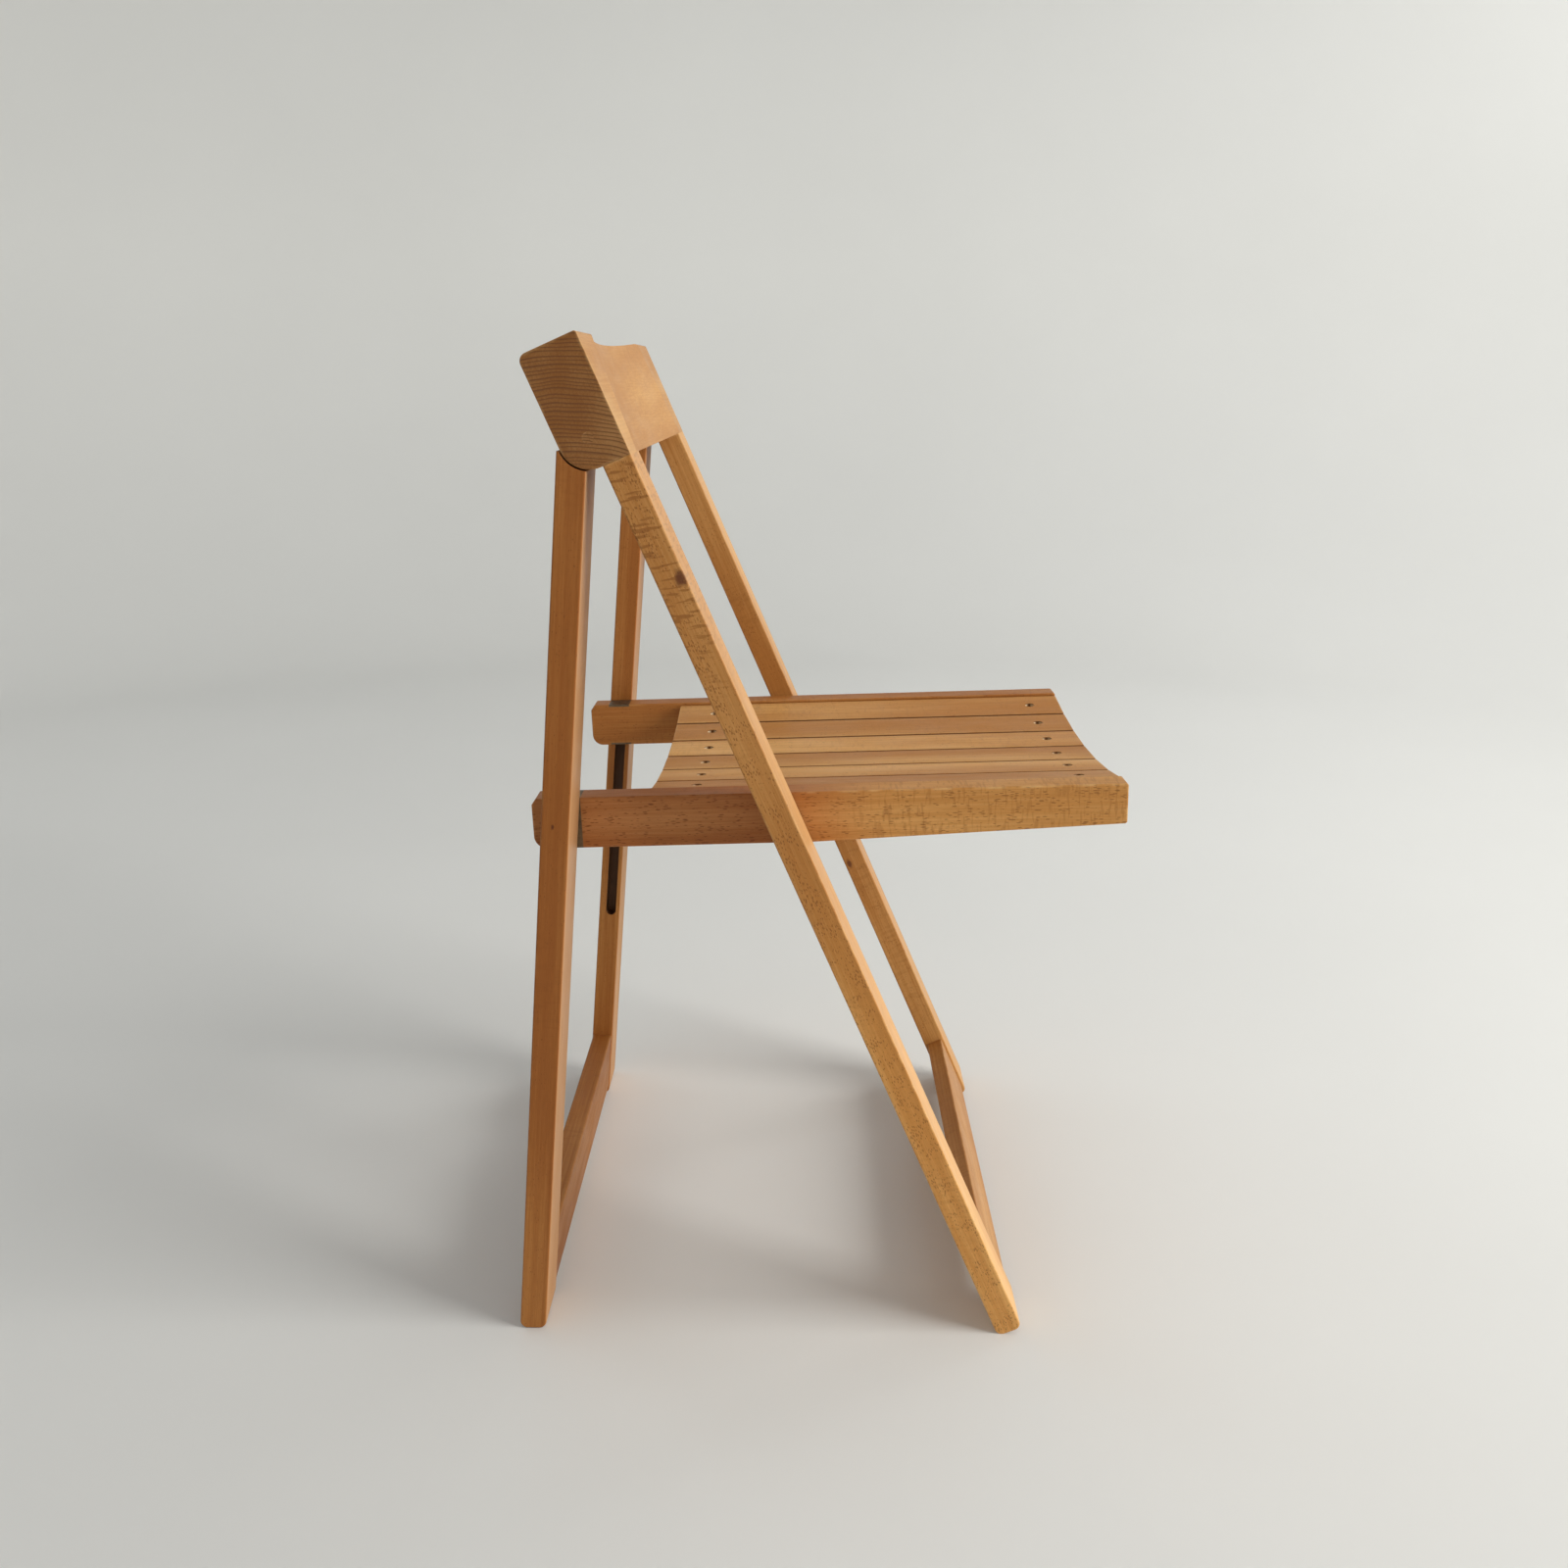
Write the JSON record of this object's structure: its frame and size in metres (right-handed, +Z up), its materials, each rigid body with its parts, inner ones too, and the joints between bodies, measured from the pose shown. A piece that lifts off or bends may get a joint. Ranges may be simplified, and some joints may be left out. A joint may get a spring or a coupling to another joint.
{
  "type": "folding chair",
  "caption": "Flat-folding wooden side chair: two hinged leg frames, a scooped back block, and a dished slatted seat that turns on the front legs and slides on the rear legs.",
  "frame": {"origin": "on the floor, under the middle of the bounding box of the open chair", "axes": "+Z up, -Y the way a sitter faces, +X the sitter's left"},
  "size_m": [0.44, 0.4704, 0.7694],
  "materials": {
    "frame_beech": "satin varnish",
    "slat_beech": "satin varnish",
    "back_wood": "satin varnish",
    "dowel_beech": "bare",
    "bracket_steel": "dull zinc plate",
    "pin_steel": "ground",
    "screw_steel": "zinc plate",
    "washer_nylon": "matte"
  },
  "bodies": {
    "front_frame": {"backrest": "back_wood", "front_stretcher": "frame_beech", "front_leg_right": "frame_beech", "back_hinge_pin_right": "pin_steel", "back_hinge_plug_right": "back_wood", "seat_pivot_pin_right": "pin_steel", "seat_washer_right": "washer_nylon", "block_dowels_right": "dowel_beech", "front_dowels_right": "dowel_beech", "front_leg_left": "frame_beech", "back_hinge_pin_left": "pin_steel", "back_hinge_plug_left": "back_wood", "seat_pivot_pin_left": "pin_steel", "seat_washer_left": "washer_nylon", "block_dowels_left": "dowel_beech", "front_dowels_left": "dowel_beech"},
    "rear_frame": {"rear_stretcher": "frame_beech", "rear_leg_right": "frame_beech", "rear_dowels_right": "dowel_beech", "rear_leg_left": "frame_beech", "rear_dowels_left": "dowel_beech"},
    "seat": {"seat_slat_1": "slat_beech", "seat_slat_2": "slat_beech", "seat_slat_3": "slat_beech", "seat_slat_4": "slat_beech", "seat_slat_5": "slat_beech", "seat_slat_6": "slat_beech", "seat_cross_rail_rear": "frame_beech", "seat_screws_rear": "screw_steel", "seat_cross_rail_front": "frame_beech", "seat_screws_front": "screw_steel", "seat_rail_right": "frame_beech", "slide_bracket_right": "bracket_steel", "seat_dowels_right": "dowel_beech", "seat_rail_left": "frame_beech", "slide_bracket_left": "bracket_steel", "seat_dowels_left": "dowel_beech"},
    "slide_pin_right": {"slide_pin_right": "pin_steel"},
    "slide_pin_left": {"slide_pin_left": "pin_steel"}
  },
  "joints": [
    {"name": "seat_fold", "type": "hinge", "parent": "front_frame", "child": "seat", "pos_m": [0, 0.01832, 0.41001], "axis": [-1, 0, 0], "range_deg": [0, 111.55]},
    {"name": "rear_frame_fold", "type": "hinge", "parent": "front_frame", "child": "rear_frame", "pos_m": [0, 0.15837, 0.70064], "axis": [-1, 0, 0], "range_deg": [0, 28.22]},
    {"name": "slide_right", "type": "slide", "parent": "rear_frame", "child": "slide_pin_right", "axis": [0, 0.0797, -0.9968], "range_m": [0, 0.21512]},
    {"name": "slide_left", "type": "slide", "parent": "rear_frame", "child": "slide_pin_left", "axis": [0, 0.0797, -0.9968], "range_m": [0, 0.21512]}
  ],
  "couplings": [
    {"joint": "rear_frame_fold", "follows": "seat_fold", "ratio": 0.25298},
    {"joint": "slide_right", "follows": "seat_fold", "m_per_rad": 0.11049},
    {"joint": "slide_left", "follows": "seat_fold", "m_per_rad": 0.11049}
  ]
}
